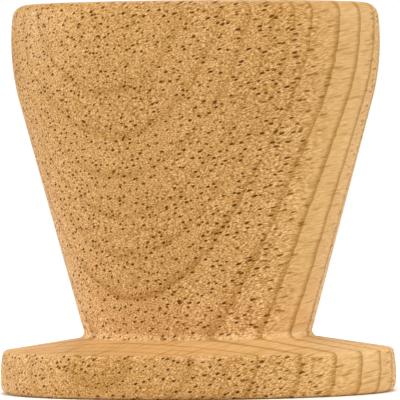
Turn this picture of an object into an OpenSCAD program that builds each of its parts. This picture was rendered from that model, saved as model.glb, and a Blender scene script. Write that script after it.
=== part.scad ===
// Cup nutcracker: the nut lies in a turned wooden cup, and a wooden screw through the back wall cracks it.
// The origin is the centre of the foot's underside, +Z is up, and the screw runs along Y through the +Y wall.
// The screw is drawn fully open. One turn closes it by one pitch, towards -Y.

/* [Cup] */
// Height of the cup from the foot's underside to the rim
cup_h = 88.2; // [75:0.1:110]
// Widest diameter of the upper cup
belly_d = 83.8; // [78:0.1:104]
// How far the widest point lies below the rim
belly_drop = 8.4; // [4:0.2:14]
// Radius of the long curve that turns the stem into the upright wall
belly_curve_r = 52.3; // [35:0.1:70]
// Radius of the outer edge of the rim
rim_edge_r = 3.2; // [0.5:0.1:4]

/* [Foot and stem] */
// Diameter of the disc foot
foot_d = 90; // [74:0.5:120]
// Height of the foot at its outer corner
foot_rim_h = 9.75; // [6:0.25:14]
// Rise of the foot's top from the corner to the stem, in degrees
foot_slope = 8.9; // [3:0.1:16]
// Radius of the slight barrel on the foot's edge
foot_barrel_r = 30; // [20:1:80]
// Radius of the foot's upper corner
foot_corner_r = 1.1; // [0.4:0.1:2.5]
// Radius of the foot's lower corner
foot_edge_r = 1.8; // [0.2:0.1:2]
// Diameter at which the stem meets the foot
stem_d = 51.2; // [40:0.1:60]
// Radius of the hollow between the stem and the foot
stem_corner_r = 1.5; // [0.5:0.1:4]

/* [Bowl] */
// Diameter of the bowl
bowl_d = 50; // [40:1:60]
// Depth of the bowl below the rim
bowl_depth = 52.2; // [46:0.1:60]
// Radius between the bowl's wall and its floor
bowl_corner_r = 16; // [6:1:18]
// Radius of the inner edge of the rim
bowl_lip_r = 1.8; // [0.5:0.1:4]

/* [Screw] */
// Depth of the screw's axis below the rim
screw_drop = 30.2; // [26:0.1:34]
// Outer diameter of the wooden thread
thread_d = 26; // [20:0.5:32]
// Distance between threads, which is the travel of one turn
thread_pitch = 6; // [4:0.5:8]
// Depth of the thread
thread_depth = 2.7; // [1.5:0.1:3]
// Width of the flat on top of the thread and at its foot
thread_flat = 0.8; // [0.5:0.1:1]
// Radial gap between the thread and its hole
thread_clear = 0.4; // [0.3:0.05:0.6]
// Diameter of the tenon that holds the knob
tenon_d = 16; // [12:0.5:17]
// Length of the tenon
tenon_l = 22; // [18:0.5:26]

/* [Knob] */
// Diameter of the knob's bulb
knob_d = 38; // [34:0.5:44]
// Diameter of the knob's collar
collar_d = 27; // [24:0.5:30]
// Length of the collar
collar_l = 9; // [8:0.5:12]
// Length of the bulb past the collar
bulb_l = 23; // [20:0.5:28]
// Radius of the two turned rings on the bulb
ring_r = 0.8; // [0.4:0.1:1.2]
// Distance between the two rings
ring_gap = 5; // [3:0.5:8]
// Diameter of the cross dowel through collar and tenon
dowel_d = 5; // [3:0.5:6]

/* [Pad] */
// Diameter of the swivelling pad
pad_d = 28; // [23:0.5:32]
// Thickness of the pad
pad_t = 8; // [7:0.5:10]
// Radius of the pad's edges
pad_edge_r = 1.2; // [0.4:0.1:2]
// Depth of the dish that grips the nut
dish_depth = 1.2; // [0.6:0.1:2]
// Least gap between the pad and the bowl's back wall when open
open_gap = 0.6; // [0.4:0.1:2]
// Least gap between the pad and the bowl's front wall when closed
closed_gap = 2; // [1:0.5:6]

/* [Pad screw] */
// Shank diameter of the screw that holds the pad
shank_d = 4; // [3:0.5:5]
// Length of the shank under the head
shank_l = 24; // [18:1:30]
// Head diameter
head_d = 8; // [6:0.5:9]
// Head height
head_h = 2; // [1.5:0.1:2.5]
// Outer diameter of the washer under the head
washer_d = 9.6; // [8:0.2:10.5]
// Washer thickness
washer_t = 0.8; // [0.5:0.1:1]

/* [Hidden] */
$fn = 96;

// Steps in one turn of the thread, and in one corner arc
turn_steps = 36;
arc_steps = 7;
long_arc_steps = 14;
// Gaps between pieces: faces that turn on each other, glued or driven pieces, and the pad on its screw
turn_gap = 0.3;
glue_gap = 0.04;
swivel_gap = 0.2;
// How far a cut runs past the face that it opens
over = 1;

foot_r = foot_d / 2;
belly_r = belly_d / 2;
bowl_r = bowl_d / 2;
bowl_floor_h = cup_h - bowl_depth;
screw_h = cup_h - screw_drop;
crest_r = thread_d / 2;
root_r = crest_r - thread_depth;
pad_r = pad_d / 2;
collar_r = collar_d / 2;
bulb_r = knob_d / 2;

// The pad's rim meets the round wall of the bowl this far from the cup's axis
wall_at_pad = sqrt(bowl_r * bowl_r - pad_r * pad_r);
pad_back_y = wall_at_pad - open_gap;
pad_front_y = pad_back_y - pad_t;
// Travel is the longest whole number of quarter turns that the bowl has room for
turns = floor(4 * (pad_front_y + wall_at_pad - closed_gap) / thread_pitch) / 4;
travel = turns * thread_pitch;
// The knob's face stays clear of the belly when the screw is closed
knob_clear = 0.6;
knob_face_y = belly_r + knob_clear + travel;
screw_tip_y = pad_back_y + turn_gap;
tip_l = 1.6;
thread_end_y = screw_tip_y + tip_l;

// Knob: a waist between the collar and a bulb that is a squashed ball
knob_edge_r = 1;
waist_l = 1.8;
waist_r = collar_r - 1.8;
bulb_half = (bulb_l - waist_l) / (1 + cos(asin(waist_r / bulb_r)));
bulb_mid = collar_l + bulb_l - bulb_half;

// Pad screw: its head and washer lie in a pocket in the pad's face
pocket_r = washer_d / 2 + 0.5;
pocket_floor = washer_t + head_h + swivel_gap + dish_depth;
head_y = pad_front_y + pocket_floor - washer_t - swivel_gap;

// Outline of the cup, as [radius, height]
// The edge of the foot is widest at this height
rim_mid_h = 3.9;
foot_corner = [foot_r - pow(foot_rim_h - rim_mid_h, 2) / (2 * foot_barrel_r), foot_rim_h];
stem_foot = [stem_d / 2, foot_rim_h + (foot_corner[0] - stem_d / 2) * tan(foot_slope)];
belly_centre = [belly_r - belly_curve_r, cup_h - belly_drop];
to_belly = belly_centre - stem_foot;
// Lean of the stem from upright, so that it runs smoothly into the belly curve
stem_lean = asin(belly_curve_r / norm(to_belly)) + atan2(to_belly[0], to_belly[1]);
rim_angle = asin((cup_h - belly_centre[1]) / belly_curve_r);

function unit(v) = v / norm(v);
function on_circle(centre, r, a) = centre + r * [cos(a), sin(a)];

// The corner b between a and c, rounded with radius r
function rounded(a, b, c, r) =
    let (
        u = unit(a - b),
        v = unit(c - b),
        half = acos(u * v) / 2,
        centre = b + unit(u + v) * r / sin(half),
        p = b + u * r / tan(half) - centre,
        q = b + v * r / tan(half) - centre,
        start = atan2(p[1], p[0]),
        swing = atan2(p[0] * q[1] - p[1] * q[0], p * q)
    )
    [for (k = [0:arc_steps]) on_circle(centre, r, start + swing * k / arc_steps)];

function barrel_r(h) = foot_r - pow(h - rim_mid_h, 2) / (2 * foot_barrel_r);
function barrel_at(h) = [barrel_r(h), h];

function cup_outline() =
    let (
        foot_edge = barrel_at(0),
        side_h = foot_rim_h - foot_edge_r - foot_corner_r,
        rim_at = on_circle(belly_centre, belly_curve_r, rim_angle),
        below_rim = on_circle(belly_centre, belly_curve_r, rim_angle - 4),
        last_a = rim_angle - 1.2 * rim_edge_r / belly_curve_r * 180 / PI
    )
    concat(
        [[0, 0]],
        rounded([0, 0], foot_edge, barrel_at(foot_rim_h / 3), foot_edge_r),
        [for (k = [1:3]) barrel_at(foot_edge_r + k * side_h / 4)],
        rounded(barrel_at(foot_rim_h * 0.7), foot_corner, stem_foot, foot_corner_r),
        rounded(foot_corner, stem_foot, stem_foot + [sin(stem_lean), cos(stem_lean)], stem_corner_r),
        [for (k = [0:long_arc_steps])
            on_circle(belly_centre, belly_curve_r, -stem_lean + (last_a + stem_lean) * k / long_arc_steps)],
        rounded(below_rim, rim_at, [0, cup_h], rim_edge_r),
        [[0, cup_h]]
    );

function bowl_outline() =
    concat(
        [[0, bowl_floor_h]],
        rounded([0, bowl_floor_h], [bowl_r, bowl_floor_h], [bowl_r, cup_h], bowl_corner_r),
        rounded([bowl_r, bowl_floor_h], [bowl_r, cup_h], [bowl_r + 10, cup_h], bowl_lip_r),
        [[bowl_r + bowl_lip_r, cup_h + over], [0, cup_h + over]]
    );

// A threaded rod from height a to b along Z. Every rod keeps the same helix, so a rod and its hole stay in step.
module thread_rod(root, crest, a, b) {
    n = turn_steps;
    // Plain rod left at both ends, where the thread fades out
    margin = 0.3;
    start_h = a + margin;
    flank = (thread_pitch - 2 * thread_flat) / 2;
    rise = [0, flank, flank + thread_flat, 2 * flank + thread_flat];
    steps = floor(n * (b - a - 2 * margin - thread_pitch) / thread_pitch);
    fade_steps = n / 3;
    function angle(i) = 360 * (start_h / thread_pitch + i / n);
    function fade(i) = max(0.15, min(1, i / fade_steps, (steps - i) / fade_steps));
    function ridge(i, j) = j == 1 || j == 2 ? root + (crest - root) * fade(i) : root;
    function at(r, i, h) = [r * cos(angle(i)), r * sin(angle(i)), h];
    helix = [for (i = [0:steps]) for (j = [0:3]) at(ridge(i, j), i, start_h + thread_pitch * i / n + rise[j])];
    bottom = [for (k = [0:n - 1]) at(root, k, a)];
    top = [for (k = [0:n - 1]) at(root, k, b)];
    function h(i, j) = 4 * i + j;
    function low(k) = len(helix) + k % n;
    function high(k) = len(helix) + n + k % n;
    flanks = [for (i = [0:steps - 1]) for (j = [0:2]) each [
        [h(i, j), h(i, j + 1), h(i + 1, j + 1)],
        [h(i, j), h(i + 1, j + 1), h(i + 1, j)]
    ]];
    roots = [for (i = [0:steps - n - 1]) each [
        [h(i, 3), h(i + n, 0), h(i + 1 + n, 0)],
        [h(i, 3), h(i + 1 + n, 0), h(i + 1, 3)]
    ]];
    first_band = [for (i = [0:n - 2]) each [
        [low(i), h(i, 0), h(i + 1, 0)],
        [low(i), h(i + 1, 0), low(i + 1)]
    ]];
    last_band = [for (i = [steps - n + 1:steps - 1]) each [
        [h(i, 3), high(i), high(i + 1)],
        [h(i, 3), high(i + 1), h(i + 1, 3)]
    ]];
    m = steps;
    joins = [
        [low(n - 1), h(n - 1, 0), h(n, 0), h(0, 3), h(0, 0), low(0)],
        [h(0, 0), h(0, 3), h(0, 2), h(0, 1)],
        [h(m - n + 1, 3), h(m - n, 3), h(m, 0), h(m, 3), high(m - n), high(m - n + 1)],
        [h(m, 0), h(m, 1), h(m, 2), h(m, 3)],
        [for (k = [0:n - 1]) low(k)],
        [for (k = [n - 1:-1:0]) high(k)]
    ];
    polyhedron(concat(helix, bottom, top), concat(flanks, roots, first_band, last_band, joins));
}

// Puts what is drawn along +Z on the screw's axis: +Z becomes -Y, so a height of -y lands at y
module on_screw_axis() {
    translate([0, 0, screw_h]) rotate([90, 0, 0]) children();
}

module cup_body() {
    hole_start = -(belly_r + thread_pitch);
    hole_end = -(sqrt(bowl_r * bowl_r - pow(crest_r + thread_clear, 2)) - 2 * thread_pitch);
    color("burlywood") difference() {
        rotate_extrude() polygon(cup_outline());
        rotate_extrude() polygon(bowl_outline());
        on_screw_axis() thread_rod(root_r + thread_clear, crest_r + thread_clear, hole_start, hole_end);
    }
}

module press_screw() {
    // The tip and the tenon reach this far into the threaded rod
    core = 4;
    tip_r = root_r - 0.5;
    color("burlywood") on_screw_axis() difference() {
        union() {
            thread_rod(root_r, crest_r, -knob_face_y, -thread_end_y);
            translate([0, 0, -thread_end_y - core]) cylinder(r = tip_r, h = core + tip_l);
            translate([0, 0, -knob_face_y - tenon_l]) cylinder(d = tenon_d, h = tenon_l + core);
        }
        translate([0, 0, -head_y - shank_l - over]) cylinder(r = shank_d / 2 + glue_gap, h = shank_l + 2 * over);
        translate([0, 0, -knob_face_y - collar_l / 2]) dowel(dowel_d + 2 * glue_gap, tenon_d + 2 * over);
    }
}

// A rod across the screw's axis
module dowel(d, l) {
    rotate([0, 90, 0]) cylinder(d = d, h = l, center = true);
}

// Outline of the knob, as [radius, distance from its face]
function knob_outline() =
    let (
        first = -acos(waist_r / bulb_r),
        steps = 2 * long_arc_steps
    )
    concat(
        [[0, 0]],
        rounded([0, 0], [collar_r, 0], [collar_r, collar_l], knob_edge_r),
        rounded([collar_r, 0], [collar_r, collar_l], [waist_r, collar_l], knob_edge_r),
        [[waist_r, collar_l], [waist_r, collar_l + waist_l]],
        [for (k = [1:steps])
            let (a = first + (90 - first) * k / steps)
            [bulb_r * cos(a), bulb_mid + bulb_half * sin(a)]]
    );

module knob() {
    ring_at = ring_gap / 2;
    // The rings are cut to three quarters of their radius
    ring_path_r = bulb_r * sqrt(1 - pow(ring_at / bulb_half, 2)) + ring_r / 4;
    color("burlywood") on_screw_axis() translate([0, 0, -knob_face_y]) mirror([0, 0, 1]) difference() {
        rotate_extrude() polygon(knob_outline());
        translate([0, 0, -over]) cylinder(r = tenon_d / 2 + glue_gap, h = tenon_l + glue_gap + over);
        for (side = [-1, 1])
            translate([0, 0, bulb_mid + side * ring_at]) rotate_extrude() translate([ring_path_r, 0]) circle(ring_r);
        translate([0, 0, collar_l / 2]) dowel(dowel_d + 2 * glue_gap, collar_d + 2 * over);
    }
}

module knob_dowel() {
    color("peru") on_screw_axis() translate([0, 0, -knob_face_y - collar_l / 2]) intersection() {
        dowel(dowel_d, collar_d);
        cylinder(r = collar_r - glue_gap, h = 2 * dowel_d, center = true);
    }
}

module press_pad() {
    // The dish ends just inside the rounded edge, and two grooves in it hold the shell
    groove = 0.6;
    grip_r = pad_r - pad_edge_r - groove;
    groove_rs = [grip_r * 0.62, grip_r * 0.84];
    dish_r = (grip_r * grip_r + dish_depth * dish_depth) / (2 * dish_depth);
    color("tan") on_screw_axis() translate([0, 0, -pad_front_y]) mirror([0, 0, 1]) difference() {
        rotate_extrude() polygon(concat(
            [[0, 0]],
            rounded([0, 0], [pad_r, 0], [pad_r, pad_t], pad_edge_r),
            rounded([pad_r, 0], [pad_r, pad_t], [0, pad_t], pad_edge_r),
            [[0, pad_t]]
        ));
        translate([0, 0, dish_depth - dish_r]) sphere(dish_r);
        for (r = groove_rs)
            translate([0, 0, dish_depth * (1 - pow(r / grip_r, 2))]) rotate_extrude() translate([r, 0]) circle(groove);
        translate([0, 0, -over]) cylinder(r = pocket_r, h = pocket_floor + over);
        translate([0, 0, -over]) cylinder(r = shank_d / 2 + swivel_gap, h = pad_t + 2 * over);
    }
}

module pad_washer() {
    color("goldenrod") on_screw_axis() translate([0, 0, -head_y - washer_t]) difference() {
        cylinder(d = washer_d, h = washer_t - glue_gap);
        translate([0, 0, -over]) cylinder(r = shank_d / 2 + glue_gap, h = washer_t + 2 * over);
    }
}

module pad_screw() {
    point_l = 4;
    slot_w = 1;
    slot_depth = 1;
    dome_r = (pow(head_d / 2, 2) + head_h * head_h) / (2 * head_h);
    color("goldenrod") on_screw_axis() translate([0, 0, -head_y]) difference() {
        union() {
            intersection() {
                cylinder(d = head_d, h = head_h);
                translate([0, 0, head_h - dome_r]) sphere(dome_r);
            }
            translate([0, 0, point_l - shank_l]) cylinder(d = shank_d, h = shank_l - point_l + head_h / 2);
            translate([0, 0, -shank_l]) cylinder(r1 = 0.2, r2 = shank_d / 2, h = point_l);
        }
        translate([-head_d, -slot_w / 2, head_h - slot_depth]) cube([2 * head_d, slot_w, 2 * slot_depth]);
    }
}

cup_body();
press_screw();
knob();
knob_dowel();
press_pad();
pad_washer();
pad_screw();
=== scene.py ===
import math

import bmesh
import bpy
import numpy as np
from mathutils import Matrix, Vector


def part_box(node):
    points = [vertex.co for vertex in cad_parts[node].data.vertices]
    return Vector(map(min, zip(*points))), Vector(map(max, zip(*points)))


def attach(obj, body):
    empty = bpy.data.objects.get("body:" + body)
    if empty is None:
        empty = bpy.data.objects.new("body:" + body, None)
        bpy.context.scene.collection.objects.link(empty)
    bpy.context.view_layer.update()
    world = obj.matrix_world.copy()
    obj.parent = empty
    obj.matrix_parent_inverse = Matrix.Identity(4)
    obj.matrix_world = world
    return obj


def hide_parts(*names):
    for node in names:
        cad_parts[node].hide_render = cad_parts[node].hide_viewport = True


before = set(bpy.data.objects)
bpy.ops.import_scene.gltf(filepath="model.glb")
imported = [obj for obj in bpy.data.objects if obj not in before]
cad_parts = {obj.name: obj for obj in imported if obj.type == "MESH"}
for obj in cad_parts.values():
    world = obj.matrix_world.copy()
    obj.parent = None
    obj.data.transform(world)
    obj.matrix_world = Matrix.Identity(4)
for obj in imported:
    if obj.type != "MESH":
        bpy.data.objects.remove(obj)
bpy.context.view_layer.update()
mm = 0.001  # outlines and sizes are in millimetres until a mesh, a lamp or the camera is made
print("frame loaded:", ", ".join(sorted(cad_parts)))


def frameSpan(node, axis):
    low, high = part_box(node)
    return low[axis] / mm, high[axis] / mm


def unit(v):
    return v / np.linalg.norm(v)


def arc(centre, radius, start, end, steps):
    angles = np.linspace(start, end, steps + 1)
    return [np.array([centre[0] + radius * math.cos(a), centre[1] + radius * math.sin(a)]) for a in angles]


def rounded(before, corner, after, radius, steps=8):
    before, corner, after = (np.array(p, float) for p in (before, corner, after))
    u, v = unit(before - corner), unit(after - corner)
    half = math.acos(np.clip(u @ v, -1, 1)) / 2
    centre = corner + unit(u + v) * radius / math.sin(half)
    p = corner + u * radius / math.tan(half) - centre
    q = corner + v * radius / math.tan(half) - centre
    start = math.atan2(p[1], p[0])
    return arc(centre, radius, start, start + math.atan2(p[0] * q[1] - p[1] * q[0], p @ q), steps)


def eased(outline, gap):
    # extra points on long straight runs, so that shading and bumps stay even
    points = [np.array(outline[0], float)]
    for nextPoint in outline[1:]:
        nextPoint = np.array(nextPoint, float)
        pieces = max(1, math.ceil(np.linalg.norm(nextPoint - points[-1]) / gap))
        start = points[-1]
        points += [start + (nextPoint - start) * k / pieces for k in range(1, pieces + 1)]
    return points


def onScrewAxis(points, height):
    x, y, w = np.array(points, float).T
    return np.stack([x, -w, height + y], 1)  # w runs along the screw into the cup, towards -Y


def makePiece(name, points, faces, sharpAngle=38):
    mesh = bpy.data.meshes.new(name)
    mesh.from_pydata((np.array(points) * mm).tolist(), [], [list(map(int, f)) for f in faces])
    piece = bpy.data.objects.new(name, mesh)
    bpy.context.collection.objects.link(piece)
    bpy.context.view_layer.objects.active = piece
    piece.select_set(True)
    bpy.ops.object.mode_set(mode="EDIT")
    bpy.ops.mesh.select_all(action="SELECT")
    bpy.ops.mesh.normals_make_consistent(inside=False)
    bpy.ops.object.mode_set(mode="OBJECT")
    piece.select_set(False)
    smoothed(piece, sharpAngle)
    return piece


def smoothed(piece, sharpAngle):
    piece.data.shade_smooth()
    piece.data.set_sharp_from_angle(angle=math.radians(sharpAngle))


def turned(outline, steps):
    # spins [radius, height] points about Z; the ends on the axis become poles
    points, rings = [], []
    for radius, height in outline:
        rings.append(range(len(points), len(points) + (1 if radius < 1e-6 else steps)))
        spin = [0] if radius < 1e-6 else 2 * math.pi * np.arange(steps) / steps
        points += [(radius * math.cos(a), radius * math.sin(a), height) for a in spin]
    faces = []
    for a, b in zip(rings, rings[1:] + rings[:1]):
        if len(a) == 1 and len(b) == 1:
            continue
        for k in range(steps):
            corners = [a[k % len(a)], a[(k + 1) % len(a)], b[(k + 1) % len(b)], b[k % len(b)]]
            faces.append(list(dict.fromkeys(corners)))
    return points, faces


def threaded(thread, grow, low, high, endsLow, endsHigh):
    # one closed rod: a ridge wound round the core, with plain rings and a flat cap at each end
    n, pitch = thread["stepsPerTurn"], thread["pitch"]
    core, crest = thread["width"] / 2 - thread["depth"] + grow, thread["width"] / 2 + grow
    flank, depth, flat = pitch / 2 - thread["flat"], crest - core, thread["flat"]
    shoulder = [(0, 0), (flank, depth), (flank + flat, depth), (2 * flank + flat, 0)]
    ridge = [np.zeros(2)]
    for k in (1, 2):
        ridge += rounded(shoulder[k - 1], shoulder[k], shoulder[k + 1], thread["crestRound"], 3)
    ridge.append(np.array(shoulder[3], float))
    across = len(ridge)
    start = low + thread["margin"]
    steps = int(n * (high - low - 2 * thread["margin"] - pitch) / pitch)
    fadeSteps = n / 3

    def at(radius, i, w):
        angle = 2 * math.pi * (start / pitch + i / n)
        return radius * math.cos(angle), radius * math.sin(angle), w

    points = []
    for i in range(steps + 1):
        fade = max(0.03, min(1, i / fadeSteps, (steps - i) / fadeSteps))
        points += [at(core + rise * fade, i, start + pitch * i / n + along) for along, rise in ridge]

    def on(i, j):
        return across * i + j

    faces = [[on(i, j), on(i + 1, j), on(i + 1, j + 1), on(i, j + 1)]
             for i in range(steps) for j in range(across - 1)]
    last = across - 1
    faces += [[on(i, last), on(i + 1, last), on(i + 1 + n, 0), on(i + n, 0)] for i in range(steps - n)]
    faces += [[on(0, j) for j in range(across)], [on(steps, j) for j in range(across)]]
    rings = []
    for radius, w in [*endsLow, *endsHigh]:
        rings.append([len(points) + k for k in range(n)])
        points += [at(radius, k, w) for k in range(n)]
    lows, highs = rings[:len(endsLow)], rings[len(endsLow):]
    near = lows[-1]
    faces += [[near[i], near[i + 1], on(i + 1, 0), on(i, 0)] for i in range(n - 1)]
    faces.append([near[n - 1], near[0], on(0, 0), on(0, last), on(n, 0), on(n - 1, 0)])
    near, m = highs[0], steps
    faces += [[on(i, last), on(i + 1, last), near[(i + 1) % n], near[i % n]] for i in range(m - n + 1, m)]
    faces.append([on(m - n + 1, last), on(m - n, last), on(m, 0), on(m, last),
                  near[m % n], near[(m + 1) % n]])
    for group in (lows, highs):
        for a, b in zip(group, group[1:]):
            faces += [[a[k], a[(k + 1) % n], b[(k + 1) % n], b[k]] for k in range(n)]
    faces += [lows[0], highs[-1]]
    return points, faces


sliver = 0.002  # cuts leave points nearer together than this, and they are merged


def cutFrom(piece, *cutters, sharpAngle=38):
    bpy.context.view_layer.objects.active = piece
    for cutter in cutters:
        cut = piece.modifiers.new("cut", "BOOLEAN")
        cut.operation, cut.solver, cut.object = "DIFFERENCE", "EXACT", cutter
        bpy.ops.object.modifier_apply(modifier=cut.name)
        bpy.data.objects.remove(cutter)
    joined = bmesh.new()
    joined.from_mesh(piece.data)
    bmesh.ops.remove_doubles(joined, verts=joined.verts, dist=sliver * mm)
    bmesh.ops.dissolve_degenerate(joined, edges=joined.edges, dist=sliver * mm)
    joined.to_mesh(piece.data)
    joined.free()
    smoothed(piece, sharpAngle)


def mathPair(operation):
    # an operator on two values, and the same one with the plain number first
    return (lambda self, other: self.finish.math(operation, self, other),
            lambda self, other: self.finish.math(operation, other, self))


class Wire:
    def __init__(self, finish, socket):
        self.finish, self.socket = finish, socket

    __add__, __radd__ = mathPair("ADD")
    __sub__, __rsub__ = mathPair("SUBTRACT")
    __mul__, __rmul__ = mathPair("MULTIPLY")
    __truediv__, __rtruediv__ = mathPair("DIVIDE")
    __pow__, __rpow__ = mathPair("POWER")

    def __abs__(self):
        return self.finish.math("ABSOLUTE", self)


class Finish:
    # the nodes of one material, or of the world around the object
    def __init__(self, owner):
        self.owner = owner
        owner.use_nodes = True
        self.tree = owner.node_tree
        self.tree.nodes.clear()

    def add(self, kind, settings=None, sockets=None, out=0):
        node = self.tree.nodes.new("ShaderNode" + kind)
        for key, value in (settings or {}).items():
            setattr(node, key, value)
        for key, value in (sockets or {}).items():
            if isinstance(value, Wire):
                self.tree.links.new(value.socket, node.inputs[key])
            else:
                node.inputs[key].default_value = value
        return Wire(self, node.outputs[out]) if node.outputs else None

    def math(self, operation, *values):
        return self.add("Math", {"operation": operation}, dict(enumerate(values)))

    def mix(self, factor, a, b):
        return self.add("Mix", {"data_type": "RGBA"}, {0: factor, 6: a, 7: b}, 2)

    def vector(self, operation, a, b, out=0):
        return self.add("VectorMath", {"operation": operation}, {0: a, 1: b}, out)

    def noise(self, where, detail=2.0, roughness=0.5):
        sockets = {"Vector": where, "Scale": 1.0, "Detail": detail, "Roughness": roughness}
        return self.add("TexNoise", None, sockets)

    def step(self, value, low, high, fromValue=0.0, toValue=1.0):
        sockets = {"Value": value, "From Min": low, "From Max": high, "To Min": fromValue, "To Max": toValue}
        return self.add("MapRange", {"interpolation_type": "SMOOTHSTEP"}, sockets)

    def join(self, x, y, z):
        return self.add("CombineXYZ", None, {0: x, 1: y, 2: z})

    def surface(self, sockets, bumpHeight=None, bumpDepth=0.0):
        if bumpHeight is not None:
            bump = {"Strength": 1.0, "Distance": bumpDepth * mm, "Height": bumpHeight}
            sockets["Normal"] = self.add("Bump", None, bump)
        shader = self.add("BsdfPrincipled", None, sockets)
        self.add("OutputMaterial", None, {"Surface": shader})
        return self.owner


def rgb(red, green, blue):
    channels = [c / 255 for c in (red, green, blue)]
    return (*[c / 12.92 if c <= 0.04045 else ((c + 0.055) / 1.055) ** 2.4 for c in channels], 1.0)


beech = {
    "body": rgb(193, 145, 82),
    "early": rgb(206, 162, 98),      # the colour of the lowest rings
    "earlyUntil": 12.0, "bodyFrom": 40.0,
    "darkening": (1.0, 1.34, 2.5),   # how fast red, green and blue fall as the tone drops
    "lift": 1.03, "darkest": 0.12,
    "ringNormal": (-0.5, -0.866, 0.2),
    "ringStart": 5.6, "ringStep": 8.8, "ringDepth": 0.38,
    "ringWander": 2.0, "ringBroadWander": 1.1, "ringFineWander": 0.6,
    "lateEdge": 0.03, "lateFade": 0.3,     # a ring's dark line, as shares of its width
    "tightFrom": 32.0, "tightShare": 0.6,  # past here the rings are fainter and twice as near together
    "tightFade": (1.0, 5.0),
    "ray": (-0.5, -0.866, -0.1),     # rays run out from the heart, fibres across them
    "fibre": (0.855, -0.386, 0.346),
    "slabFrom": 0.1, "slabTo": 0.55, "slabRingLoss": 0.35,  # slab is a face that looks along the rays
    "fleckCell": (5.0, 1.98, 1.18),  # along the ray, along the fibre and across both
    "fleckRadius": 0.18, "fleckRadiusSpread": 0.12,
    "fleckDepth": 0.78, "fleckLack": 0.32, "fleckOffSlab": 0.25,
    "faintFleckSize": 0.6, "faintFleckDepth": 0.28, "faintFleckLack": 0.4, "faintFleckOffSlab": 0.15,
    "fineGrain": (5.0, 0.48, 0.26), "fineContrast": 2.65, "fineOffSlab": 0.24,
    "broadGrain": (7.0, 6.0, 1.4), "broadContrast": 0.15,
    "driftLength": 30, "patchLength": 14, "patchContrast": 0.1,
    "roughness": 0.5, "fineRoughness": 0.3, "fleckRoughness": 0.2, "gloss": 0.13, "poreDepth": 0.08,
}


def woodFinish(name, look, paintedLightAndWear=None):
    # the function passed here, of (g, x, y, z), gives how much darker than clean wood a spot is painted:
    # painted shade, painted light (below zero) and real wear
    g = Finish(bpy.data.materials.new(name))
    where = g.vector("MULTIPLY", g.add("TexCoord", None, None, "Object"), (1 / mm,) * 3)
    ray = unit(np.array(look["ray"]))
    fibre = unit(np.array(look["fibre"]) - ray * (ray @ look["fibre"]))
    axes = (ray, fibre, np.cross(ray, fibre))

    def along(axis, length=1.0):
        return g.vector("DOT_PRODUCT", where, tuple(axis / length), "Value")

    def grain(lengths, *settings):
        stretched = g.join(*[along(axis, length) for axis, length in zip(axes, lengths)])
        return g.noise(stretched, *settings) - 0.5

    def cloud(length, *settings):
        return g.noise(g.vector("MULTIPLY", where, (1 / length,) * 3), *settings) - 0.5

    fine = grain(look["fineGrain"], 2.0, 0.6)
    broad = grain(look["broadGrain"], 2.0)
    drift = cloud(look["driftLength"], 1.0)
    patch = cloud(look["patchLength"], 2.0)

    ring = along(np.array(look["ringNormal"])) + drift * look["ringWander"]
    ring = ring + broad * look["ringBroadWander"] + fine * look["ringFineWander"]
    tight = g.math("MAXIMUM", ring - look["tightFrom"], 0.0)
    age = (ring + tight - look["ringStart"]) / look["ringStep"]
    phase = age - g.math("FLOOR", age)
    late = g.step(phase, 0.0, look["lateEdge"]) * g.step(phase, look["lateEdge"], look["lateFade"], 1.0, 0.0)
    late = late * g.step(tight, *look["tightFade"], 1.0, look["tightShare"])

    facing = g.vector("DOT_PRODUCT", g.add("TexCoord", None, None, "Normal"), tuple(ray), "Value")
    slab = g.step(abs(facing), look["slabFrom"], look["slabTo"])

    def offSlab(share):
        return slab * (1 - share) + share

    def flecks(shrink, lack, depth):
        # spots in cells across the ray, each of which comes and goes on its own along the ray
        rayLength, length, height = look["fleckCell"]
        cells = {"Vector": g.join(along(fibre, length * shrink), along(axes[2], height * shrink), 0.0),
                 "Scale": 1.0}
        spot = g.add("TexVoronoi", {"voronoi_dimensions": "2D"}, cells, "Distance")
        luck = g.add("TexVoronoi", {"voronoi_dimensions": "2D"}, cells, "Color")
        inward = g.join(along(ray, rayLength), 0.0, 0.0)
        # each cell's luck shifts it far along the noise, so that neighbours differ
        keep = g.noise(g.vector("ADD", inward, g.vector("MULTIPLY", luck, (60,) * 3)), 0.0)
        radius = g.add("SeparateXYZ", None, {0: luck}) * look["fleckRadiusSpread"] + look["fleckRadius"]
        return g.step(spot / radius, 0.5, 1.0, 1.0, 0.0) * g.step(keep, lack, lack + 0.25) * depth

    bold = flecks(1.0, look["fleckLack"], look["fleckDepth"]) * offSlab(look["fleckOffSlab"])
    faint = flecks(look["faintFleckSize"], look["faintFleckLack"], look["faintFleckDepth"])
    faint = faint * offSlab(look["faintFleckOffSlab"])
    tone = 1 + fine * look["fineContrast"] * offSlab(look["fineOffSlab"])
    tone = tone + broad * look["broadContrast"] + patch * look["patchContrast"]
    tone = tone * (1 - late * (1 - slab * look["slabRingLoss"]) * look["ringDepth"])
    tone = tone * (1 - bold) * (1 - faint) * look["lift"]
    if paintedLightAndWear:
        x, y, z = (g.add("SeparateXYZ", None, {0: where}, axis) for axis in range(3))
        tone = tone * (1 - paintedLightAndWear(g, x, y, z))
    tone = g.math("MAXIMUM", tone, look["darkest"])
    colour = g.mix(g.step(ring, look["earlyUntil"], look["bodyFrom"]), look["early"], look["body"])
    colour = g.vector("MULTIPLY", colour, g.join(*[tone ** power for power in look["darkening"]]))
    rough = look["roughness"] - fine * look["fineRoughness"] + bold * look["fleckRoughness"]
    sockets = {"Base Color": colour, "Roughness": rough, "Specular IOR Level": look["gloss"]}
    return g.surface(sockets, fine - bold - faint, look["poreDepth"])


brass = {
    "colour": rgb(214, 172, 98), "worn": rgb(236, 204, 140), "wornFrom": 0.35, "wornTo": 0.7,
    "turning": (0.3, 20, 0.3), "turningRoughness": 0.25, "turningDepth": 0.01,
    "patch": 0.6, "patchRoughness": 0.2, "roughness": 0.3,
}


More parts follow.
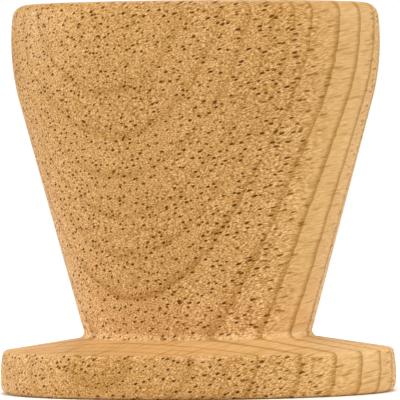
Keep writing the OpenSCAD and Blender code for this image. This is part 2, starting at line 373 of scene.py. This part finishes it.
def brassFinish(look):
    g = Finish(bpy.data.materials.new("brassSatin"))
    where = g.vector("MULTIPLY", g.add("TexCoord", None, None, "Object"), (1 / mm,) * 3)
    turning = g.noise(g.vector("MULTIPLY", where, look["turning"]), 2.0)
    patch = g.noise(g.vector("MULTIPLY", where, (look["patch"],) * 3), 3.0)
    colour = g.mix(g.step(patch, look["wornFrom"], look["wornTo"]), look["colour"], look["worn"])
    rough = look["roughness"] + (turning - 0.5) * look["turningRoughness"]
    rough = rough + (patch - 0.5) * look["patchRoughness"]
    sockets = {"Base Color": colour, "Metallic": 1.0, "Roughness": rough}
    return g.surface(sockets, turning, look["turningDepth"])


def finished(piece, material, body, slot, *nodes):
    piece.data.materials.clear()
    piece.data.materials.append(material)
    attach(piece, body)
    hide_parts(*nodes)
    print("made", piece.name)


thread = {"width": 26, "depth": 2.7, "pitch": 6, "flat": 0.8, "crestRound": 0.3, "holeGap": 0.4,
          "margin": 0.3, "stepsPerTurn": 90}

cup = {
    "height": frameSpan("cup_body", 2)[1],
    "footWidth": 90, "footRimHeight": 9.75, "footSlope": 8.9, "barrelRadius": 30, "barrelMiddle": 3.9,
    "footCornerRound": 1.1, "footEdgeRound": 1.8,
    "stemWidth": 51.2, "stemCornerRound": 1.5,
    "bellyWidth": 83.8, "bellyDrop": 8.4, "bellyCurve": 52.3, "rimRound": 3.2,
    "bowlWidth": 50, "bowlDepth": 52.2, "bowlCornerRound": 16, "lipRound": 1.8,
    "screwDrop": 30.2,
    # the band of painted light above the foot: where it starts and ends, where it fades, and how much paler
    # it is painted
    "paintedLightBelow": 1.5, "paintedLightAbove": 0.5, "paintedLightFade": (13.0, 30.0), "paintedLightShare": 0.15,
    "steps": 240, "gap": 1.5,
}


def cupOutline(c):
    height, footR, stemR = c["height"], c["footWidth"] / 2, c["stemWidth"] / 2

    def barrel(h):
        return np.array([footR - (h - c["barrelMiddle"]) ** 2 / (2 * c["barrelRadius"]), h])

    rimH = c["footRimHeight"]
    corner = barrel(rimH)
    stemFoot = np.array([stemR, rimH + (corner[0] - stemR) * math.tan(math.radians(c["footSlope"]))])
    centre = np.array([c["bellyWidth"] / 2 - c["bellyCurve"], height - c["bellyDrop"]])
    toBelly = centre - stemFoot
    lean = math.asin(c["bellyCurve"] / np.linalg.norm(toBelly)) + math.atan2(*toBelly)
    # the belly's curve stops a little short of the rim, and a rounding leads on to the top
    rimAngle = math.asin(c["bellyDrop"] / c["bellyCurve"])
    rim = arc(centre, c["bellyCurve"], rimAngle, rimAngle, 1)[0]
    belowRim = arc(centre, c["bellyCurve"], rimAngle - 0.07, rimAngle, 1)[0]
    lastAngle = rimAngle - 1.2 * c["rimRound"] / c["bellyCurve"]
    bowlR, floorH = c["bowlWidth"] / 2, height - c["bowlDepth"]
    outer = [(0, 0), *rounded((0, 0), barrel(0), barrel(rimH / 3), c["footEdgeRound"])]
    sideH = rimH - c["footEdgeRound"] - c["footCornerRound"]
    outer += [barrel(c["footEdgeRound"] + sideH * k / 8) for k in range(1, 8)]
    outer += rounded(barrel(rimH * 0.7), corner, stemFoot, c["footCornerRound"])
    outer += rounded(corner, stemFoot, stemFoot + (math.sin(lean), math.cos(lean)), c["stemCornerRound"], 12)
    outer += arc(centre, c["bellyCurve"], -lean, lastAngle, 40)
    outer += rounded(belowRim, rim, (0, height), c["rimRound"], 12)
    inner = rounded((bowlR + 10, height), (bowlR, height), (bowlR, floorH), c["lipRound"], 12)
    inner += rounded((bowlR, height), (bowlR, floorH), (0, floorH), c["bowlCornerRound"], 28)
    return eased([*outer, *inner, (0, floorH)], c["gap"])


screwHeight = cup["height"] - cup["screwDrop"]
cupPiece = makePiece("cup", *turned(cupOutline(cup), cup["steps"]))
holeLow = -(cup["bellyWidth"] / 2 + thread["pitch"])
holeReach = thread["width"] / 2 + thread["holeGap"]
holeHigh = 2 * thread["pitch"] - math.sqrt((cup["bowlWidth"] / 2) ** 2 - holeReach ** 2)
holeCore = holeReach - thread["depth"]
holePoints, holeFaces = threaded(thread, thread["holeGap"], holeLow, holeHigh,
                                 [(holeCore, holeLow)], [(holeCore, holeHigh)])
cutFrom(cupPiece, makePiece("threadCutter", onScrewAxis(holePoints, screwHeight), holeFaces))


def hollowPaintedLight(g, x, y, z):
    # painted light: from just below the foot's top up the lower stem the wood is painted paler, for light
    # that the lamps don't bring there
    footTop = cup["footRimHeight"]
    aboveFoot = g.step(z, footTop - cup["paintedLightBelow"], footTop + cup["paintedLightAbove"])
    return aboveFoot * g.step(z, *cup["paintedLightFade"], 1.0, 0.0) * -cup["paintedLightShare"]


finished(cupPiece, woodFinish("beechCup", beech, hollowPaintedLight), "cup", "beech", "cup_body")

spindle = {"tipInset": 0.5, "tipLength": 1.6, "tipRound": 0.5,
           "tenonWidth": 16, "tenonLength": 22, "tenonBevel": 0.6,
           # the first pair sets the painted shade at the foot of the thread, the second the rubbed, paler
           # crests
           "rootShadeHeight": 1.3, "rootShade": 0.4, "rubbedHeight": 1.6, "rubbed": 0.12}
knob = {"width": 38, "collarWidth": 27, "collarLength": 9, "bulbLength": 23,
        "waistInset": 1.8, "waistLength": 1.8, "edgeRound": 1,
        # the last two on this line set the painted shade in the two ring grooves
        "ringRadius": 0.8, "ringShare": 0.75, "ringGap": 5, "grooveShadeWidth": 0.25, "grooveShade": 0.5,
        "dowelWidth": 5, "steps": 160}
glueGap = 0.04
knobFace = frameSpan("knob", 1)[0]
tipFace = frameSpan("press_screw", 1)[0]
core = thread["width"] / 2 - thread["depth"]
tipR, tenonR = core - spindle["tipInset"], spindle["tenonWidth"] / 2
tenonEnd = -knobFace - spindle["tenonLength"]
bevel = spindle["tenonBevel"]
endsLow = [(tenonR - bevel, tenonEnd), (tenonR, tenonEnd + bevel), (tenonR, -knobFace), (core, -knobFace)]
endsHigh = [(core, -tipFace - spindle["tipLength"]), (tipR, -tipFace - spindle["tipLength"]),
            (tipR, -tipFace - spindle["tipRound"]), (tipR - spindle["tipRound"], -tipFace)]
rodPoints, rodFaces = threaded(thread, 0, -knobFace, -tipFace - spindle["tipLength"], endsLow, endsHigh)
spindlePiece = makePiece("pressScrew", onScrewAxis(rodPoints, screwHeight), rodFaces)


def rodAcross(name, radius, length, middle):
    outline = [(0, -length / 2), (radius, -length / 2), (radius, length / 2), (0, length / 2)]
    points, faces = turned(outline, 64)
    x, y, w = np.array(points, float).T
    return makePiece(name, onScrewAxis(np.stack([w, x, y + middle], 1), screwHeight), faces)


def rodAlong(name, radius, fromW, toW):
    points, faces = turned([(0, fromW), (radius, fromW), (radius, toW), (0, toW)], 64)
    return makePiece(name, onScrewAxis(points, screwHeight), faces)


padScrew = {"shankWidth": 4, "shankLength": 24, "headWidth": 8, "headHeight": 2, "pointLength": 4,
            "slotWidth": 1, "slotDepth": 1, "edgeStep": 0.05, "edgeLift": 0.02,
            "pointRadius": 0.2, "pointBevel": 0.1}
headSeat = frameSpan("pad_screw", 1)[0] + padScrew["headHeight"]
dowelMiddle = -knobFace - knob["collarLength"] / 2
pilot = rodAlong("pilotCutter", padScrew["shankWidth"] / 2 + glueGap,
                 -headSeat - padScrew["shankLength"] - 1, -tipFace + 1)
dowelHole = knob["dowelWidth"] / 2 + glueGap
cutFrom(spindlePiece, pilot, rodAcross("tenonCutter", dowelHole, spindle["tenonWidth"] + 4, dowelMiddle))
spindleWood = {**beech, "ringNormal": (0.62, 0.05, 0.78), "ringStep": 4.2, "tightFrom": 200,
               "ray": (0.62, 0, 0.78), "fibre": (0, 1, 0), "fleckCell": (7.0, 2.6, 0.9), "fleckDepth": 0.45,
               "fineGrain": (1.0, 3.0, 0.4), "fineContrast": 1.2, "gloss": 0.3}


def threadShadeAndWear(g, x, y, z):
    # painted shade lies dark at the foot of the thread, and the crests are rubbed paler
    radius = (x * x + (z - screwHeight) * (z - screwHeight)) ** 0.5
    rootShade = g.step(radius, core, core + spindle["rootShadeHeight"], spindle["rootShade"], 0.0)
    crest = core + thread["depth"]
    return rootShade - g.step(radius, core + spindle["rubbedHeight"], crest, 0.0, spindle["rubbed"])


spindleFinish = woodFinish("beechSpindle", spindleWood, threadShadeAndWear)
finished(spindlePiece, spindleFinish, "screw", "beech_screw", "press_screw")


def bulbHalf(k):
    waistShare = (k["collarWidth"] / 2 - k["waistInset"]) / (k["width"] / 2)
    return (k["bulbLength"] - k["waistLength"]) / (1 + math.cos(math.asin(waistShare)))


def knobOutline(k):
    collarR, bulbR = k["collarWidth"] / 2, k["width"] / 2
    waistR = collarR - k["waistInset"]
    half = bulbHalf(k)
    middle = k["collarLength"] + k["bulbLength"] - half
    collarEnd = (collarR, k["collarLength"])
    waistStart = (waistR, k["collarLength"])
    outline = [(0, 0), *rounded((0, 0), (collarR, 0), collarEnd, k["edgeRound"])]
    outline += rounded((collarR, 0), collarEnd, waistStart, k["edgeRound"])
    outline += [waistStart, (waistR, k["collarLength"] + k["waistLength"])]
    first = -math.acos(waistR / bulbR)
    for a in np.linspace(first, math.pi / 2, 140)[1:-1]:
        radius, along = bulbR * math.cos(a), half * math.sin(a)
        for side in (-1, 1):
            across = (along - side * k["ringGap"] / 2) / k["ringRadius"]
            if abs(across) < 1:
                radius -= k["ringRadius"] * k["ringShare"] * math.sqrt(1 - across * across)
        outline.append((radius, middle + along))
    return eased([*outline, (0, k["collarLength"] + k["bulbLength"])], 1.5)


knobBulbMiddle = knob["collarLength"] + knob["bulbLength"] - bulbHalf(knob)
knobPoints, knobFaces = turned([(r, -knobFace - d) for r, d in knobOutline(knob)], knob["steps"])
knobPiece = makePiece("turnedKnob", onScrewAxis(knobPoints, screwHeight), knobFaces)
tenonHole = rodAlong("tenonHoleCutter", tenonR + glueGap, tenonEnd - glueGap, 1 - knobFace)
cutFrom(knobPiece, tenonHole, rodAcross("dowelCutter", dowelHole, knob["collarWidth"] + 4, dowelMiddle))
knobWood = {**spindleWood, "ringNormal": (0.8, 0.1, 0.59), "ray": (0.8, 0, 0.6), "ringStep": 6.5}


def groovePaintedShade(g, x, y, z):
    # painted shade: the two turned rings are painted dark in their grooves
    fromMiddle = abs(y - (knobFace + knobBulbMiddle))
    fromRing = abs(fromMiddle - knob["ringGap"] / 2)
    return g.step(fromRing, knob["grooveShadeWidth"], knob["ringRadius"], knob["grooveShade"], 0.0)


finished(knobPiece, woodFinish("beechKnob", knobWood, groovePaintedShade), "screw", "beech_knob", "knob")

dowelR, collarR = knob["dowelWidth"] / 2, knob["collarWidth"] / 2 - glueGap
dowelRings = [(0, -1), (0.5, -1), (0.9, -1), (1, -0.985), (1, 0.985), (1, 1), (0.9, 1), (0.5, 1), (0, 1)]
points, faces = turned([(share * dowelR, end * collarR) for share, end in eased(dowelRings, 0.08)], 48)
x, y, w = np.array(points, float).T
shrink = np.sqrt(collarR ** 2 - y ** 2) / collarR  # the ends follow the round of the collar
dowelPoints = np.stack([w * shrink, y, x + dowelMiddle], 1)
dowelPiece = makePiece("knobDowel", onScrewAxis(dowelPoints, screwHeight), faces)
dowelWood = {**beech, "body": rgb(170, 118, 68), "early": rgb(184, 132, 80),
             "ringNormal": (0.05, 0.7, 0.7), "ringStep": 1.7, "tightFrom": 200,
             "ray": (0, 0.7, 0.7), "fibre": (1, 0, 0), "fleckCell": (3.0, 1.6, 0.5)}
finished(dowelPiece, woodFinish("dowelWood", dowelWood), "screw", "dowel", "knob_dowel")

pad = {"width": 28, "thickness": 8, "edgeRound": 1.2, "dishDepth": 1.2, "gripInset": 1.8, "groove": 0.6,
       "grooves": (0.62, 0.84), "washerWidth": 9.6, "washerThickness": 0.8, "washerBevel": 0.12,
       "swivelGap": 0.2, "steps": 128}
padFront = frameSpan("press_pad", 1)[0]
gripR = pad["width"] / 2 - pad["gripInset"]
dishR = (gripR ** 2 + pad["dishDepth"] ** 2) / (2 * pad["dishDepth"])
pocketR = pad["washerWidth"] / 2 + 0.5
pocketFloor = pad["washerThickness"] + padScrew["headHeight"] + pad["swivelGap"] + pad["dishDepth"]
boreR = padScrew["shankWidth"] / 2 + pad["swivelGap"]


def dishAt(radius):
    depth = pad["dishDepth"] - dishR + math.sqrt(dishR ** 2 - radius ** 2)
    for share in pad["grooves"]:
        across = (radius - share * gripR) / pad["groove"]
        if abs(across) < 1:
            depth += pad["groove"] * math.sqrt(1 - across * across)
    return depth


padR, thick = pad["width"] / 2, pad["thickness"]
face = [(r, dishAt(r)) for r in np.linspace(gripR, pocketR + 0.25, 90)]
padOutline = [(boreR, thick), *rounded((0, thick), (padR, thick), (padR, 0), pad["edgeRound"])]
padOutline += rounded((padR, thick), (padR, 0), (0, 0), pad["edgeRound"])
padOutline += [*face, (pocketR, face[-1][1] + 0.25), (pocketR, pocketFloor), (boreR, pocketFloor)]
points, faces = turned([(r, -padFront - d) for r, d in eased(padOutline, 1.2)], pad["steps"])
padPiece = makePiece("pressPad", onScrewAxis(points, screwHeight), faces)
padWood = {**spindleWood, "body": rgb(186, 132, 78), "early": rgb(206, 156, 98), "ringStep": 3.0}
finished(padPiece, woodFinish("padWood", padWood), "pad", "pad", "press_pad")

washerR, hole, bevel = pad["washerWidth"] / 2, padScrew["shankWidth"] / 2 + glueGap, pad["washerBevel"]
low, high = -headSeat - pad["washerThickness"], -headSeat - glueGap
washerOutline = [(hole, low + bevel), (hole + bevel, low), (washerR - bevel, low), (washerR, low + bevel),
                 (washerR, high - bevel), (washerR - bevel, high), (hole + bevel, high), (hole, high - bevel)]
points, faces = turned(washerOutline, 96)
brassMaterial = brassFinish(brass)
washerPiece = makePiece("padWasher", onScrewAxis(points, screwHeight), faces, 60)
finished(washerPiece, brassMaterial, "screw", "brass", "pad_washer")

headR, headH = padScrew["headWidth"] / 2, padScrew["headHeight"]
shankR, shankL = padScrew["shankWidth"] / 2, padScrew["shankLength"]
domeR = (headR ** 2 + headH ** 2) / (2 * headH)
domeStart, pointR = headR - padScrew["edgeStep"], padScrew["pointRadius"]
dome = [(r, headH - domeR + math.sqrt(domeR ** 2 - r * r)) for r in np.linspace(domeStart, 0, 24)]
screwOutline = [(0, -shankL), (pointR, -shankL + padScrew["pointBevel"]),
                (shankR, padScrew["pointLength"] - shankL), (shankR, 0),
                (headR, 0), (headR, padScrew["edgeLift"]), *dome]
points, faces = turned([(r, d - headSeat) for r, d in screwOutline], 96)
padScrewPiece = makePiece("padScrew", onScrewAxis(points, screwHeight), faces, 30)
slotW, slotDeep = padScrew["slotWidth"] / 2, headH - padScrew["slotDepth"]
box = [(sx * headR * 2, sy * slotW, sw - headSeat)
       for sx in (-1, 1) for sy in (-1, 1) for sw in (slotDeep, headH + 1)]
boxFaces = [(0, 1, 3, 2), (4, 6, 7, 5), (0, 4, 5, 1), (2, 3, 7, 6), (0, 2, 6, 4), (1, 5, 7, 3)]
cutFrom(padScrewPiece, makePiece("slotCutter", onScrewAxis(box, screwHeight), boxFaces), sharpAngle=30)
finished(padScrewPiece, brassMaterial, "screw", "brass", "pad_screw")

studio = {
    "floorRadius": 0.5, "paperGrain": 900, "paperDark": rgb(248, 248, 248), "paperLight": rgb(252, 252, 252),
    "backdrop": 1.0, "fill": 0.22,       # brightness of the white surroundings, as seen and as light
    "softboxes": {                       # where each stands, how wide it is and its power
        "front": ((0, -1.6, 0.2), 0.5, 7.2),
        "high": ((0, -0.5, 1.15), 0.6, 9.5),
        "left": ((-0.9, 0.33, 0.35), 0.6, 7.0),
        "right": ((0.9, 0.33, 0.35), 0.6, 5.4),
        "behind": ((0, 0.8, 0.9), 0.6, 4.0),
    },
    "softboxAim": (0, 0, 0.045),
    "cameraDistance": 1.32, "cameraHeight": 0.0563, "aimHeight": 0.04366, "aimX": 0.0007,
    "lens": 522, "roll": -0.5,
}

bpy.ops.mesh.primitive_circle_add(vertices=128, radius=studio["floorRadius"], fill_type="NGON")
floor = bpy.context.object
floor.name = "studioFloor"
paper = Finish(bpy.data.materials.new("paleFloor"))
paperPlace = paper.add("TexCoord", None, None, "Object")
grain = paper.noise(paper.vector("MULTIPLY", paperPlace, (studio["paperGrain"],) * 3), 2.0)
tone = paper.mix(grain, studio["paperDark"], studio["paperLight"])
floor.data.materials.append(paper.surface({"Base Color": tone, "Roughness": 0.9, "Specular IOR Level": 0.1}))

air = Finish(bpy.data.worlds.new("studioAir"))
seen = air.add("LightPath", None, None, "Is Camera Ray")
level = studio["fill"] + seen * (studio["backdrop"] - studio["fill"])
glow = air.add("Background", None, {"Color": (1, 1, 1, 1), "Strength": level})
air.add("OutputWorld", None, {"Surface": glow})
bpy.context.scene.world = air.owner

for name, (place, width, power) in studio["softboxes"].items():
    lamp = bpy.data.lights.new(name + "Softbox", "AREA")
    lamp.shape, lamp.size, lamp.energy = "DISK", width, power
    holder = bpy.data.objects.new(name + "Softbox", lamp)
    holder.location = place
    toAim = Vector(studio["softboxAim"]) - Vector(place)
    holder.rotation_euler = toAim.to_track_quat("-Z", "Y").to_euler()
    bpy.context.collection.objects.link(holder)

lens = bpy.data.cameras.new("view")
lens.lens, lens.clip_start, lens.clip_end = studio["lens"], 0.01, 50
camera = bpy.data.objects.new("view", lens)
camera.location = (studio["aimX"], -studio["cameraDistance"], studio["cameraHeight"])
look = Vector((studio["aimX"], 0, studio["aimHeight"])) - camera.location
turn = look.to_track_quat("-Z", "Y").to_matrix().to_4x4()
camera.rotation_euler = (turn @ camera.matrix_world.Rotation(math.radians(studio["roll"]), 4, "Z")).to_euler()
bpy.context.collection.objects.link(camera)
bpy.context.scene.camera = camera
bpy.context.scene.view_settings.view_transform = "Standard"
bpy.context.scene.view_settings.look = "None"
print("studio ready")
